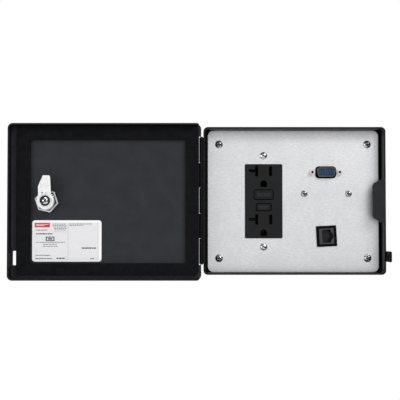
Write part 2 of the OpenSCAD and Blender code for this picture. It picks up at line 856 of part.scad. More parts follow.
module reset_button() {
    color([0.16, 0.16, 0.17]) at_outlet() button(reset_z, reset_w, reset_h, 3);
}

module test_button() {
    color([0.16, 0.16, 0.17]) at_outlet() button(test_z, test_w, test_h, 3);
}

module reset_spring() {
    color("silver") at_outlet() ring_spring(0, reset_z, face_y + 4.55, bridge_y, 3, 0.5);
}

module test_spring() {
    color("silver") at_outlet() ring_spring(0, test_z, face_y + 4.55, bridge_y, 3, 0.5);
}

// Carriage that the reset stem pushes; it carries the moving contacts
module contact_carriage() {
    color([0.75, 0.7, 0.6]) at_outlet() difference() {
        union() {
            block([-9.6, 0, -9], [9.6, carriage_back_y, 10]);
            rod(0, reset_z, -0.9, 0.1, 1.9);
        }
        block([-3, -1, test_z - 3], [3, carriage_back_y + 1, test_z + 3]);
    }
}

module moving_contacts() {
    color("goldenrod") at_outlet() for (s = [-1, 1]) {
        block([s * 6.5 - 1.5, carriage_back_y, -7], [s * 6.5 + 1.5, carriage_back_y + 0.7, 8]);
        for (z = [-5.5, 6.5]) rod(s * 6.5, z, carriage_back_y + 0.6, carriage_back_y + 1.8, 1.3);
    }
}

// ---- data socket ----

module at_dsub() {
    translate([dsub_x, 0, dsub_z]) children();
}

module dsub_shell() {
    color([0.6, 0.6, 0.62]) at_dsub() difference() {
        union() {
            slab(plate_back_y, plate_back_y + 0.8) round_rect(30.8, 12.5, 1);
            slab(dsub_front_y, plate_back_y + 0.1) d_outline(dsub_w, dsub_hh, 2.4);
            slab(plate_back_y + 0.7, plate_back_y + 5) round_rect(19, 10.6, 1);
        }
        slab(dsub_front_y - 1, plate_back_y + 6) d_outline(dsub_w - 1, dsub_hh - 1, 1.8);
        for (s = [-1, 1]) rod(s * jackscrew_pitch / 2, 0, -12, 0, 1.6);
    }
}

// Black moulded frame that fills the cut-out round the metal shell
module dsub_frame() {
    color([0.07, 0.07, 0.08]) at_dsub() difference() {
        slab(plate_y - 0.4, plate_back_y) round_rect(dsub_frame_w, dsub_frame_h, dsub_frame_r);
        slab(plate_y - 1, plate_back_y + 1) d_outline(dsub_w + 0.1, dsub_hh + 0.1, 2.4);
    }
}

pin_rows = [-2, 0, 2];

module dsub_insulator() {
    color([0.15, 0.27, 0.42]) at_dsub() difference() {
        union() {
            slab(dsub_front_y + 0.9, plate_back_y + 5.1) d_outline(dsub_w - 1.4, dsub_hh - 1.4, 1.8);
            slab(plate_back_y + 5.02, plate_back_y + 8) round_rect(18.6, 10.2, 1);
        }
        for (row = [0 : 2], i = [-2 : 2])
            rod(i * 2.3 + (row == 1 ? 0.6 : 0), pin_rows[row], dsub_front_y, plate_back_y + 9, 0.55);
    }
}

module dsub_pins() {
    color("gold") at_dsub() for (row = [0 : 2], i = [-2 : 2])
        rod(i * 2.3 + (row == 1 ? 0.6 : 0), pin_rows[row], plate_back_y + 2, plate_back_y + 11.5, 0.5);
}

module dsub_jackscrews() {
    color("silver") at_dsub() for (s = [-1, 1]) translate([s * jackscrew_pitch / 2, 0, 0]) difference() {
        union() {
            slab(plate_y - 3.4, plate_y) circle(2.75, $fn = 6);
            rod(0, 0, plate_y - eps, plate_back_y + 6, 1.4);
        }
        rod(0, 0, plate_y - 5, plate_y + 2, 1.1);
    }
}

module dsub_rear_nuts() {
    color("silver") at_dsub() for (s = [-1, 1]) translate([s * jackscrew_pitch / 2, 0, 0])
        slab(plate_back_y + 0.8, plate_back_y + 3) difference() {
            circle(3.1, $fn = 6);
            circle(1.42);
        }
}

// ---- modular jack ----

module at_jack() {
    translate([data_x, 0, jack_z]) rotate([0, -jack_tilt, 0]) children();
}

// The jack's mouth, turned a quarter so that its latch notch faces +X
module jack_mouth() {
    translate([0.1, 0]) square([7.8, 11.8], center = true);
    translate([4.4, 0]) square([1.8, 6.4], center = true);
    translate([5.2, 0]) square([2, 3.6], center = true);
}

module jack_bezel() {
    color([0.09, 0.09, 0.1]) at_jack() difference() {
        union() {
            slab(jack_front_y, plate_y) round_rect(jack_w, jack_w + 0.6, 0.5);
            slab(plate_y - eps, 2) square([15, 15.8], center = true);
            for (s = [-1, 1])
                block([-4, plate_back_y + 0.2, min(s * 7.8, s * 9)],
                      [4, plate_back_y + 1.6, max(s * 7.8, s * 9)]);
        }
        slab(jack_front_y - 1, 3) square([13.6, 14.4], center = true);
    }
}

module jack_housing() {
    color([0.13, 0.13, 0.14]) at_jack() difference() {
        union() {
            slab(jack_front_y + 0.35, 6) square([13.5, 14.3], center = true);
            slab(2.2, 6) square([15, 15.8], center = true);
        }
        slab(jack_front_y - 1, 2.5) jack_mouth();
    }
}

module jack_contacts() {
    color("gold") at_jack() for (i = [0 : 7])
        translate([0, 0, (i - 3.5) * 1.02]) {
            block([-3.75, -5, -0.2], [-3.25, 2.3, 0.2]);
            block([-3.35, 1.8, -0.2], [-1, 2.3, 0.2]);
        }
}

module jack_punch_block() {
    color([0.85, 0.85, 0.85]) at_jack() difference() {
        slab(6, 17) square([14.4, 15.8], center = true);
        for (s = [-1, 1], i = [-1.5 : 1 : 1.5])
            block([s * 5 - 2.4, 11, i * 3.6 - 0.35], [s * 5 + 2.4, 18, i * 3.6 + 0.35]);
        block([-1.6, 12, -9], [1.6, 18, 9]);
    }
}

// ---- bracket and bonding stud behind the plate ----

module data_bracket() {
    color("silver") translate([data_x, 0, bracket_z]) difference() {
        union() {
            slab(plate_back_y, plate_back_y + 1.5) round_rect(bracket_pitch + 9, 9, 2);
            block([-12, plate_back_y + 1.4, -4.5], [12, 8, -3]);
        }
        for (s = [-1, 1]) rod(s * bracket_pitch / 2, 0, -20, 0, 1.75);
    }
}

module bracket_screws() {
    color("silver") for (s = [-1, 1]) {
        x = data_x + s * bracket_pitch / 2;
        dome_screw(x, bracket_z, plate_y, 3.2, 1.9, 1.7, 0);
        slab(plate_back_y + 1.5, plate_back_y + 4) translate([x, bracket_z]) difference() {
            circle(3.6, $fn = 6);
            circle(1.6);
        }
    }
}

module bonding_stud() {
    color("silver") translate([-58, 0, -24]) {
        rod(0, 0, plate_back_y, plate_back_y + 1, 4);
        rod(0, 0, plate_back_y + 0.9, plate_back_y + 12, 2);
        slab(plate_back_y + 1.4, plate_back_y + 4) difference() {
            circle(4, $fn = 6);
            circle(1.9);
        }
    }
}

body_shell();
panel_gasket();
mounting_studs();
face_plate();
plate_standoffs();
plate_screws();
latch_keeper();
keeper_rivets();
padlock_tab();
tab_rivets();
hinge_body_leaf();
hinge_body_rivets();
hinge_pin();
data_bracket();
bracket_screws();
bonding_stud();
outlet_face();
outlet_yoke();
outlet_mid_frame();
outlet_back_body();
hot_contacts();
neutral_contacts();
ground_contacts();
circuit_board();
sensing_coils();
trip_solenoid();
solenoid_plunger();
terminal_plates();
terminal_screws();
ground_screw();
housing_screws();
device_screws();
reset_button();
test_button();
reset_spring();
test_spring();
contact_carriage();
moving_contacts();
dsub_shell();
dsub_frame();
dsub_insulator();
dsub_pins();
dsub_jackscrews();
dsub_rear_nuts();
jack_bezel();
jack_housing();
jack_contacts();
jack_punch_block();
door_shell();
door_gasket();
rating_label();
hinge_door_leaf();
hinge_door_rivets();
lock_barrel();
lock_nut();
lock_washer();
lock_plug();
lock_cam();
cam_washer();
cam_screw();
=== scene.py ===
import math
import random

import bmesh
import bpy
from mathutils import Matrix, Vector


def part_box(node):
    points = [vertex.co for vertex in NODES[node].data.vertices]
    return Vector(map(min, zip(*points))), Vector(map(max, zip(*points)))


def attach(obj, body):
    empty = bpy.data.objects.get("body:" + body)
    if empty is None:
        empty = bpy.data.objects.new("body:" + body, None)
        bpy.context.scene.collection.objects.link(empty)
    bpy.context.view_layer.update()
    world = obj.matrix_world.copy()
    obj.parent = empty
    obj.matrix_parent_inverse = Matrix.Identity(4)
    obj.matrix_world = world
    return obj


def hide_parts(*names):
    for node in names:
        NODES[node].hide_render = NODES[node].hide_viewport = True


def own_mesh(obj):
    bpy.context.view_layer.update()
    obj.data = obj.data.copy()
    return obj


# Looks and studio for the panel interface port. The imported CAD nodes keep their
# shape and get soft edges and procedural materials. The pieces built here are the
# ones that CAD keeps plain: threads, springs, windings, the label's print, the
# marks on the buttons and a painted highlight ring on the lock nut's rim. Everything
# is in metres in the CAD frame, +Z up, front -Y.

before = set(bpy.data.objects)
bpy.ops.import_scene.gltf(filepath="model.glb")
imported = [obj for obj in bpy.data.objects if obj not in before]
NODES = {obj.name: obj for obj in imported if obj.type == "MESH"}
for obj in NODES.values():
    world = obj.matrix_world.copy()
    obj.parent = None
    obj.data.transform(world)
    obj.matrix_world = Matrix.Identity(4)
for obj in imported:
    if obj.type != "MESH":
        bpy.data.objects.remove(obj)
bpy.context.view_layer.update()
MM = 0.001
BACK = Vector((0, 1, 0))


# ---------------------------------------------------------------- materials

def rgb(red, green, blue):
    """A display colour from 0 to 255 as the linear colour that sockets take."""
    def linear(value):
        share = value / 255
        return share / 12.92 if share <= 0.04045 else ((share + 0.055) / 1.055) ** 2.4
    return (linear(red), linear(green), linear(blue), 1.0)


class Surface:
    """A material: one Principled shader and the procedural nodes that feed it."""

    def __init__(self, name, roughness, metallic=0.0, specular=0.5):
        self.material = bpy.data.materials.new(name)
        self.material.use_nodes = True
        self.nodes = self.material.node_tree.nodes
        self.links = self.material.node_tree.links
        self.shader = self.nodes["Principled BSDF"]
        self.shader.inputs["Roughness"].default_value = roughness
        self.shader.inputs["Metallic"].default_value = metallic
        self.shader.inputs["Specular IOR Level"].default_value = specular
        self.place = self.nodes.new("ShaderNodeTexCoord").outputs["Object"]
        self.normal = None

    def feed(self, socket, value):
        """Links a node's output to the socket, or sets the socket to a plain value."""
        if isinstance(value, bpy.types.NodeSocket):
            self.links.new(value, socket)
        else:
            socket.default_value = value

    def noise(self, scale, detail=2.0, stretch=(1, 1, 1)):
        """Noise from 0 to 1 with that many features a metre, squeezed along each axis."""
        mapping = self.nodes.new("ShaderNodeMapping")
        mapping.inputs["Scale"].default_value = stretch
        self.links.new(self.place, mapping.inputs["Vector"])
        node = self.nodes.new("ShaderNodeTexNoise")
        node.inputs["Scale"].default_value = scale
        node.inputs["Detail"].default_value = detail
        self.links.new(mapping.outputs["Vector"], node.inputs["Vector"])
        return node.outputs["Fac"]

    def spread(self, source, low, high, start=0.35, end=0.65):
        """Source from start to end, spread over low to high."""
        node = self.nodes.new("ShaderNodeMapRange")
        for name, value in (("Value", source), ("From Min", start), ("From Max", end),
                            ("To Min", low), ("To Max", high)):
            self.feed(node.inputs[name], value)
        return node.outputs["Result"]

    def mix(self, factor, first, second):
        """The first colour where factor is 0, the second where it is 1."""
        node = self.nodes.new("ShaderNodeMix")
        node.data_type = "RGBA"
        self.feed(node.inputs["Factor"], factor)
        self.feed(next(s for s in node.inputs if s.identifier == "A_Color"), first)
        self.feed(next(s for s in node.inputs if s.identifier == "B_Color"), second)
        return next(s for s in node.outputs if s.identifier == "Result_Color")

    def edges(self, radius):
        """1 along convex and concave edges, 0 on flat ground."""
        bevel = self.nodes.new("ShaderNodeBevel")
        bevel.inputs["Radius"].default_value = radius
        geometry = self.nodes.new("ShaderNodeNewGeometry")
        dot = self.nodes.new("ShaderNodeVectorMath")
        dot.operation = "DOT_PRODUCT"
        self.links.new(bevel.outputs["Normal"], dot.inputs[0])
        self.links.new(geometry.outputs["Normal"], dot.inputs[1])
        return self.spread(dot.outputs["Value"], 1.0, 0.0, 0.88, 0.995)

    def bump(self, height, depth, strength):
        """Relief that deep under the shading, added to any relief before it."""
        node = self.nodes.new("ShaderNodeBump")
        node.inputs["Strength"].default_value = strength
        node.inputs["Distance"].default_value = depth
        self.links.new(height, node.inputs["Height"])
        if self.normal:
            self.links.new(self.normal, node.inputs["Normal"])
        self.normal = node.outputs["Normal"]
        self.links.new(self.normal, self.shader.inputs["Normal"])

    def color(self, value):
        self.feed(self.shader.inputs["Base Color"], value)

    def rough(self, value):
        self.feed(self.shader.inputs["Roughness"], value)


def powder_coat(name, dark, light, roughness, specular, edge_wear_and_highlight):
    """Baked powder coat: fine orange peel, a cloudy tone and edges rubbed lighter."""
    s = Surface(name, roughness, specular=specular)
    cloud = s.noise(70, detail=5)
    peel = s.noise(900, detail=2)
    speck = s.noise(2600, detail=1)
    tone = s.mix(s.spread(cloud, 0.0, 1.0), dark, light)
    rubbed = s.spread(s.noise(240, detail=3), 0.0, 1.0, 0.5, 0.75)
    wear = s.mix(s.edges(0.5 * MM), (0, 0, 0, 1), rubbed)
    s.color(s.mix(wear, tone, edge_wear_and_highlight))
    s.rough(s.spread(cloud, roughness - 0.02, roughness + 0.03))
    s.bump(peel, 0.03 * MM, 0.5)
    s.bump(speck, 0.01 * MM, 0.3)
    return s.material


def moulded(name, dark, light, roughness, specular=0.3, grain=0.006, edge_wear_and_highlight=None):
    """Moulded plastic: spark-eroded grain, slight tone changes and, where an edge colour is
    given, a painted highlight along every edge.
    """
    s = Surface(name, roughness, specular=specular)
    cloud = s.noise(120, detail=4)
    tone = s.mix(s.spread(cloud, 0.0, 1.0), dark, light)
    # Painted highlight: every edge, convex and concave, is mixed towards the lighter edge
    # colour.
    if edge_wear_and_highlight:
        tone = s.mix(s.spread(s.edges(0.35 * MM), 0.0, 0.7, 0.0, 1.0), tone, edge_wear_and_highlight)
    s.color(tone)
    s.rough(s.spread(cloud, roughness - 0.05, roughness + 0.05))
    s.bump(s.noise(3200, detail=2), grain * MM, 0.5)
    return s.material


def brushed(name, dark, light, roughness):
    """Sheet metal brushed along X: long fine scratches and a mottled shine."""
    s = Surface(name, roughness, metallic=1.0)
    fine = s.noise(3200, detail=2, stretch=(0.03, 1, 1))
    broad = s.noise(900, detail=4, stretch=(0.35, 1, 1))
    cloud = s.noise(55, detail=5)
    mottle = s.noise(380, detail=3)
    streak = s.mix(s.spread(broad, 0.0, 1.0, 0.35, 0.65), dark, light)
    tone = s.mix(s.spread(cloud, 0.0, 0.6), streak, dark)
    tone = s.mix(s.spread(mottle, 0.0, 0.4, 0.4, 0.7), tone, light)
    s.color(s.mix(s.spread(fine, 0.0, 0.35), tone, light))
    s.rough(s.spread(mottle, roughness - 0.05, roughness + 0.06, 0.3, 0.7))
    s.bump(mottle, 0.012 * MM, 0.3)
    s.bump(fine, 0.004 * MM, 0.25)
    return s.material


def plated(name, dark, light, roughness):
    """Plated or polished metal with faint handling marks and uneven shine."""
    s = Surface(name, roughness, metallic=1.0)
    cloud = s.noise(260, detail=4)
    marks = s.noise(1500, detail=3, stretch=(1, 1, 0.15))
    s.color(s.mix(s.spread(cloud, 0.0, 1.0), dark, light))
    s.rough(s.spread(marks, roughness * 0.75, roughness * 1.25 + 0.02))
    s.bump(marks, 0.004 * MM, 0.25)
    return s.material


def foam(name, dark, light, roughness):
    """Closed-cell foam rubber: a skin of fine pores."""
    s = Surface(name, roughness, specular=0.12)
    cloud = s.noise(160, detail=4)
    pores = s.noise(2200, detail=3)
    tone = s.mix(s.spread(cloud, 0.0, 1.0), dark, light)
    s.color(s.mix(s.spread(pores, 0.0, 0.6, 0.45, 0.7), tone, dark))
    s.rough(s.spread(pores, roughness - 0.06, roughness + 0.05))
    s.bump(pores, 0.05 * MM, 0.6)
    return s.material


def paper(name, dark, light):
    """Printed film or another pale matt skin: a faint fibre and a satin sheen."""
    s = Surface(name, 0.45, specular=0.3)
    fibre = s.noise(1800, detail=4, stretch=(0.4, 1, 1))
    s.color(s.mix(s.spread(fibre, 0.0, 1.0), dark, light))
    s.rough(s.spread(fibre, 0.4, 0.52))
    s.bump(fibre, 0.004 * MM, 0.3)
    return s.material


def wound_wire(name, dark, light, pitch):
    """Enamelled winding: glossy strands of uneven tone, about a pitch wide."""
    s = Surface(name, 0.3, metallic=0.85)
    strand = s.noise(1 / pitch, detail=1)
    s.color(s.mix(s.spread(strand, 0.0, 1.0), dark, light))
    s.rough(s.spread(strand, 0.22, 0.4))
    return s.material


def circuit(name, mask, track):
    """Solder mask over copper tracks, as patches stretched along Z."""
    s = Surface(name, 0.35, specular=0.5)
    tracks = s.noise(420, detail=0, stretch=(1, 1, 0.2))
    s.color(s.mix(s.spread(tracks, 0.0, 1.0, 0.52, 0.54), mask, track))
    s.rough(s.spread(s.noise(900), 0.3, 0.42))
    s.bump(tracks, 0.02 * MM, 0.3)
    return s.material


FINISH = {
    "housing_coat": powder_coat("housing_coat", rgb(13, 13, 15), rgb(19, 20, 22),
                                0.45, 0.18, rgb(50, 51, 54)),
    "hinge_coat": powder_coat("hinge_coat", rgb(8, 8, 9), rgb(13, 13, 15),
                              0.5, 0.1, rgb(48, 49, 52)),
    # Black coat of the tab, the D-sub frame and the jack bezel; also the painted shade in the
    # D-sub jackscrews' threaded bores.
    "tab_coat_and_bore_shade": powder_coat("tab_coat_and_bore_shade", rgb(3, 3, 4), rgb(6, 6, 7),
                            0.55, 0.06, rgb(30, 31, 33)),
    "keeper_coat": powder_coat("keeper_coat", rgb(24, 24, 27), rgb(31, 32, 35),
                               0.45, 0.22, rgb(62, 63, 66)),
    "door_coat": powder_coat("door_coat", rgb(38, 39, 43), rgb(45, 46, 51),
                             0.55, 0.2, rgb(64, 65, 69)),
    "aluminium": brushed("brushed_aluminium", rgb(206, 207, 209), rgb(232, 232, 234), 0.44),
    "zinc": plated("zinc_plate", rgb(168, 170, 174), rgb(205, 206, 208), 0.3),
    "stainless": plated("stainless_steel", rgb(196, 197, 200), rgb(226, 226, 228), 0.2),
    "chrome": plated("bright_chrome", rgb(232, 232, 234), rgb(246, 246, 247), 0.12),
    # Painted shade: a darkened copy of the chrome for the lock nut's face.
    "shaded_nut_chrome": plated("shaded_nut_chrome", rgb(48, 49, 51), rgb(76, 77, 79), 0.25),
    # Painted highlight: a pale matt skin for the ring on the lock nut's rim.
    "nut_rim_highlight": paper("nut_rim_highlight", rgb(206, 206, 207), rgb(228, 228, 229)),
    "nickel": plated("nickel_plate", rgb(196, 192, 182), rgb(220, 217, 208), 0.24),
    "brass": plated("spring_brass", rgb(196, 158, 82), rgb(222, 186, 108), 0.26),
    "gold": plated("gold_flash", rgb(222, 184, 96), rgb(240, 206, 128), 0.2),
    # Painted shade: brass darkened for the contacts deep in the outlet's slots.
    "slot_shade_brass": plated("brass_in_slot_shade", rgb(34, 29, 21), rgb(50, 43, 32), 0.5),
    "dark_nickel": plated("dull_nickel", rgb(104, 101, 93), rgb(138, 134, 124), 0.32),
    "green_steel": plated("green_bonding_steel", rgb(34, 120, 62), rgb(58, 148, 84), 0.32),
    # Black oxide for the rivets and the hinge pin; also the painted shade in screw recesses and
    # the cam washer's groove.
    "black_oxide_and_recess_shade": plated("black_oxide_steel_and_recess_shade", rgb(34, 35, 38), rgb(52, 53, 56), 0.4),
    "spring_steel": plated("spring_steel", rgb(120, 122, 128), rgb(168, 170, 176), 0.25),
    "gasket": foam("gasket_foam", rgb(12, 12, 14), rgb(19, 20, 23), 0.9),
    # On the moulded finishes below, the last colour is a painted highlight along every edge.
    "outlet_black": moulded("outlet_black", rgb(13, 14, 16), rgb(18, 19, 21), 0.45,
                            specular=0.22, edge_wear_and_highlight=rgb(44, 45, 48)),
    "button_black": moulded("button_black", rgb(9, 10, 12), rgb(14, 15, 17), 0.5,
                            specular=0.22, edge_wear_and_highlight=rgb(52, 53, 56)),
    "button_mark": moulded("button_mark", rgb(30, 31, 33), rgb(40, 41, 44), 0.42),
    "case_black": moulded("case_black", rgb(22, 22, 24), rgb(31, 31, 34), 0.5, grain=0.012),
    "case_grey": moulded("case_grey", rgb(88, 90, 95), rgb(104, 106, 111), 0.5, grain=0.01),
    "ivory": moulded("ivory_nylon", rgb(196, 188, 168), rgb(214, 207, 188), 0.5),
    "white_plastic": moulded("white_plastic", rgb(205, 205, 203), rgb(224, 224, 222), 0.4),
    "socket_blue": moulded("socket_blue", rgb(26, 58, 84), rgb(38, 76, 102), 0.45),
    # Painted shade for the faces inside the jack's mouth, with a painted highlight along its
    # edges.
    "jack_black": moulded("jack_black", rgb(13, 13, 15), rgb(19, 19, 21), 0.32, specular=0.4,
                          edge_wear_and_highlight=rgb(44, 45, 48)),
    "jack_grey": moulded("jack_grey", rgb(38, 39, 42), rgb(52, 53, 56), 0.35, specular=0.5,
                         edge_wear_and_highlight=rgb(86, 87, 90)),
    "label_paper": paper("label_paper", rgb(243, 243, 244), rgb(250, 250, 250)),
    "label_field": paper("label_field", rgb(226, 226, 228), rgb(234, 234, 236)),
    "label_red": paper("label_red", rgb(206, 34, 52), rgb(222, 48, 64)),
    "label_ink": paper("label_ink", rgb(22, 22, 24), rgb(40, 40, 43)),
    "label_grey": paper("label_grey", rgb(84, 84, 88), rgb(112, 112, 116)),
    "copper": wound_wire("enamelled_copper", rgb(120, 54, 22), rgb(186, 98, 48), 0.4 * MM),
    "board": circuit("solder_mask", rgb(18, 74, 44), rgb(34, 108, 66)),
}


# ---------------------------------------------------------------- CAD nodes

# A face whose normal points at least this far towards -Y is frontal.
FRONTAL = 0.9


def soften(piece, width, segments):
    """Merges the split vertices and flat facets, then rounds every edge a little."""
    weld = piece.modifiers.new("weld", "WELD")
    weld.merge_threshold = 1e-6
    flat = piece.modifiers.new("flat", "DECIMATE")
    flat.decimate_type = "DISSOLVE"
    flat.angle_limit = math.radians(0.8)
    bevel = piece.modifiers.new("edge", "BEVEL")
    bevel.width = width
    bevel.segments = segments
    bevel.limit_method = "ANGLE"
    bevel.angle_limit = math.radians(34)
    bevel.miter_outer = "MITER_ARC"
    normals = piece.modifiers.new("normals", "WEIGHTED_NORMAL")
    normals.keep_sharp = True


def dress(node, finish, edge_mm, segments):
    """Gives a CAD node its material and soft edges."""
    piece = NODES[node]
    piece.data.materials.clear()
    piece.data.materials.append(FINISH[finish])
    for face in piece.data.polygons:
        face.material_index = 0
        face.use_smooth = True
    soften(piece, edge_mm * MM, segments)


def middle(node):
    low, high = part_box(node)
    return (low + high) / 2


# Node: finish, edge radius in millimetres, segments across the edge
DRESS = {
    "body_shell": ("housing_coat", 0.5, 3),
    "panel_gasket": ("gasket", 0.4, 2),
    "face_plate": ("aluminium", 0.5, 3),
    "plate_standoffs": ("zinc", 0.25, 2),
    "plate_screws": ("stainless", 0.12, 2),
    "latch_keeper": ("keeper_coat", 0.4, 3),
    "keeper_rivets": ("black_oxide_and_recess_shade", 0.1, 2),
    "padlock_tab": ("tab_coat_and_bore_shade", 0.4, 3),
    "tab_rivets": ("black_oxide_and_recess_shade", 0.1, 2),
    "hinge_body_leaf": ("hinge_coat", 0.25, 2),
    "hinge_body_rivets": ("black_oxide_and_recess_shade", 0.1, 2),
    "hinge_pin": ("black_oxide_and_recess_shade", 0.2, 2),
    "data_bracket": ("zinc", 0.25, 2),
    "bracket_screws": ("stainless", 0.12, 2),
    "outlet_face": ("outlet_black", 0.22, 2),
    "outlet_yoke": ("zinc", 0.2, 2),
    "outlet_mid_frame": ("case_grey", 0.2, 2),
    "outlet_back_body": ("case_black", 0.5, 3),
    # The outlet contacts take the darkened brass, as painted shade.
    "hot_contacts": ("slot_shade_brass", 0.08, 2),
    "neutral_contacts": ("slot_shade_brass", 0.08, 2),
    "ground_contacts": ("slot_shade_brass", 0.08, 2),
    "circuit_board": ("board", 0.1, 2),
    "trip_solenoid": ("copper", 0.15, 2),
    "solenoid_plunger": ("spring_steel", 0.2, 2),
    "terminal_plates": ("brass", 0.1, 2),
    "terminal_screws": ("brass", 0.15, 2),
    "ground_screw": ("green_steel", 0.15, 2),
    "housing_screws": ("zinc", 0.12, 2),
    "device_screws": ("stainless", 0.12, 2),
    "reset_button": ("button_black", 0.35, 3),
    "test_button": ("button_black", 0.35, 3),
    "contact_carriage": ("ivory", 0.2, 2),
    "moving_contacts": ("brass", 0.08, 2),
    "dsub_shell": ("dark_nickel", 0.12, 2),
    "dsub_frame": ("tab_coat_and_bore_shade", 0.2, 2),
    "dsub_insulator": ("socket_blue", 0.12, 2),
    "dsub_pins": ("gold", 0.08, 2),
    "dsub_jackscrews": ("nickel", 0.15, 2),
    "dsub_rear_nuts": ("zinc", 0.15, 2),
    "jack_bezel": ("tab_coat_and_bore_shade", 0.25, 3),
    "jack_housing": ("jack_grey", 0.15, 2),
    "jack_contacts": ("gold", 0.04, 1),
    "jack_punch_block": ("white_plastic", 0.2, 2),
    "door_shell": ("door_coat", 0.5, 3),
    "door_gasket": ("gasket", 0.6, 3),
    "rating_label": ("label_paper", 0.04, 1),
    "hinge_door_leaf": ("hinge_coat", 0.25, 2),
    "hinge_door_rivets": ("black_oxide_and_recess_shade", 0.1, 2),
    "lock_barrel": ("chrome", 0.2, 2),
    # The lock nut takes the darkened chrome, as painted shade.
    "lock_nut": ("shaded_nut_chrome", 0.4, 3),
    "lock_washer": ("chrome", 0.15, 2),
    "lock_plug": ("chrome", 0.15, 2),
    "lock_cam": ("chrome", 0.55, 4),
    "cam_washer": ("stainless", 0.12, 2),
    "cam_screw": ("chrome", 0.18, 2),
}

for node_name, look in DRESS.items():
    dress(node_name, *look)


def second_finish(node, finish, wanted):
    """Gives the faces of a CAD node that are wanted a second finish."""
    mesh = NODES[node].data
    mesh.materials.append(FINISH[finish])
    for face in mesh.polygons:
        if wanted(face):
            face.material_index = 1


def plate_neutral_screws():
    """The neutral side's terminal screws are nickel plated, the hot side's are brass."""
    split_x = middle("terminal_screws").x
    second_finish("terminal_screws", "nickel", lambda face: face.center.x < split_x)


def coat_door():
    """The door is black outside like the housing; its inner face is dark grey."""
    inner_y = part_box("rating_label")[1].y

    def outside(face):
        return face.normal.y >= -FRONTAL or abs(face.center.y - inner_y) >= 0.3 * MM
    second_finish("door_shell", "housing_coat", outside)


def centres(node, radius_x, radius_z):
    """Middles, as (x, z), of the round pieces at the corners of a node's box."""
    low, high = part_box(node)
    return [(x, z) for x in (low.x + radius_x, high.x - radius_x)
            for z in (low.z + radius_z, high.z - radius_z)]


def paint_recess_shade(node, finish, radius_x, radius_z, reach, domed):
    """Paints shade into recesses: faces nearer than reach to a piece's axis take a dark
    material.

    On a domed head only walls and flat floors do, so the dome stays bright.
    """
    places = centres(node, radius_x * MM, radius_z * MM)

    def recessed(face):
        at = face.center
        away = min(math.hypot(at.x - x, at.z - z) for x, z in places)
        wall_or_floor = abs(face.normal.y) < 0.35 or face.normal.y < -0.995
        return away < reach * MM and (wall_or_floor or not domed)
    second_finish(node, finish, recessed)


def darken_mouth():
    """Inside the jack's mouth the plastic lies in deep shade."""
    face_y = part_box("jack_housing")[0].y

    def inside(face):
        return face.center.y > face_y + 1.0 * MM or face.normal.y > -FRONTAL
    second_finish("jack_housing", "jack_black", inside)


# Node: finish of the painted shade, half width and half height of one piece, reach of
# the recess, all in millimetres, and whether its head is domed
RECESS_SHADES = {
    "dsub_jackscrews": ("tab_coat_and_bore_shade", 2.77, 2.4, 1.3, False),
    "cam_washer": ("black_oxide_and_recess_shade", 5.8, 5.8, 4.7, False),
    "cam_screw": ("black_oxide_and_recess_shade", 3.5, 3.5, 2.3, True),
    "plate_screws": ("black_oxide_and_recess_shade", 3.65, 3.65, 2.6, True),
    "device_screws": ("black_oxide_and_recess_shade", 3.4, 3.4, 2.4, True),
    "bracket_screws": ("black_oxide_and_recess_shade", 3.2, 3.2, 2.3, True),
}

plate_neutral_screws()
coat_door()
for node_name, recess in RECESS_SHADES.items():
    paint_recess_shade(node_name, *recess)
darken_mouth()


# ---------------------------------------------------------------- built pieces

def new_piece(name, mesh_data, finish, body):
    """A smooth-shaded piece from a bmesh, riding on a CAD body."""
    bmesh.ops.recalc_face_normals(mesh_data, faces=mesh_data.faces)
    mesh = bpy.data.meshes.new(name)
    mesh_data.to_mesh(mesh)
    mesh_data.free()
    for face in mesh.polygons:
        face.use_smooth = True
    mesh.set_sharp_from_angle(angle=math.radians(40))
    mesh.materials.append(FINISH[finish])
    piece = bpy.data.objects.new(name, mesh)
    bpy.context.scene.collection.objects.link(piece)
    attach(piece, body)
    return piece


def band(bm, first, second):
    """Joins two rings of vertices with a closed band of faces."""
    for i in range(len(first)):
        j = (i + 1) % len(first)
        bm.faces.new((first[i], first[j], second[j], second[i]))


def turned(bm, place, axis, length, sides, rows, radius_at, bore=0.0):
    """Adds a closed turned solid whose radius is a function of the run and the angle.

    place is the middle of its near end, axis the unit direction it runs in, and
    radius_at(run, turn) the radius, with run in metres and turn from 0 to 1.
    A bore, given as a radius, makes it a sleeve.
    """
    side = axis.orthogonal().normalized()
    up = axis.cross(side)

    def ring(run, radius_of):
        points = []
        for i in range(sides):
            turn = i / sides
            angle = turn * math.tau
            radius = radius_of(turn)
            out = side * math.cos(angle) + up * math.sin(angle)
            points.append(bm.verts.new(place + axis * run + out * radius))
        return points

    rings = []
    for row in range(rows + 1):
        run = length * row / rows
        rings.append(ring(run, lambda turn: radius_at(run, turn)))
    for near, far in zip(rings, rings[1:]):
        band(bm, near, far)
    if bore:
        inner = [ring(0.0, lambda turn: bore), ring(length, lambda turn: bore)]
        band(bm, inner[0], inner[1])
        band(bm, rings[0], inner[0])
        band(bm, rings[-1], inner[1])
    else:
        bm.faces.new(rings[0])
        bm.faces.new(rings[-1])


def thread_radius(crest, depth, pitch, length, chamfer):
    """Radius of a screw thread with a plain chamfer at its far end."""
    def radius_at(run, turn):
        phase = (run / pitch - turn) % 1.0
        groove = depth * abs(2 * phase - 1)
        left = length - run
        cut = max(0.0, chamfer - left)
        return crest - max(groove, cut)
    return radius_at


def plain_radius(radius, edge, length):
    """Radius of a plain disc with a small chamfer at both ends."""
    def radius_at(run, turn):
        near = min(run, length - run)
        return radius - max(0.0, edge - near)
    return radius_at


THREAD_SIDES = 40
ROWS_PER_PITCH = 8
DISC_SIDES = 48
NUT_SIDES = 72
NUT_ROWS = 8
MIN_ROWS = 4


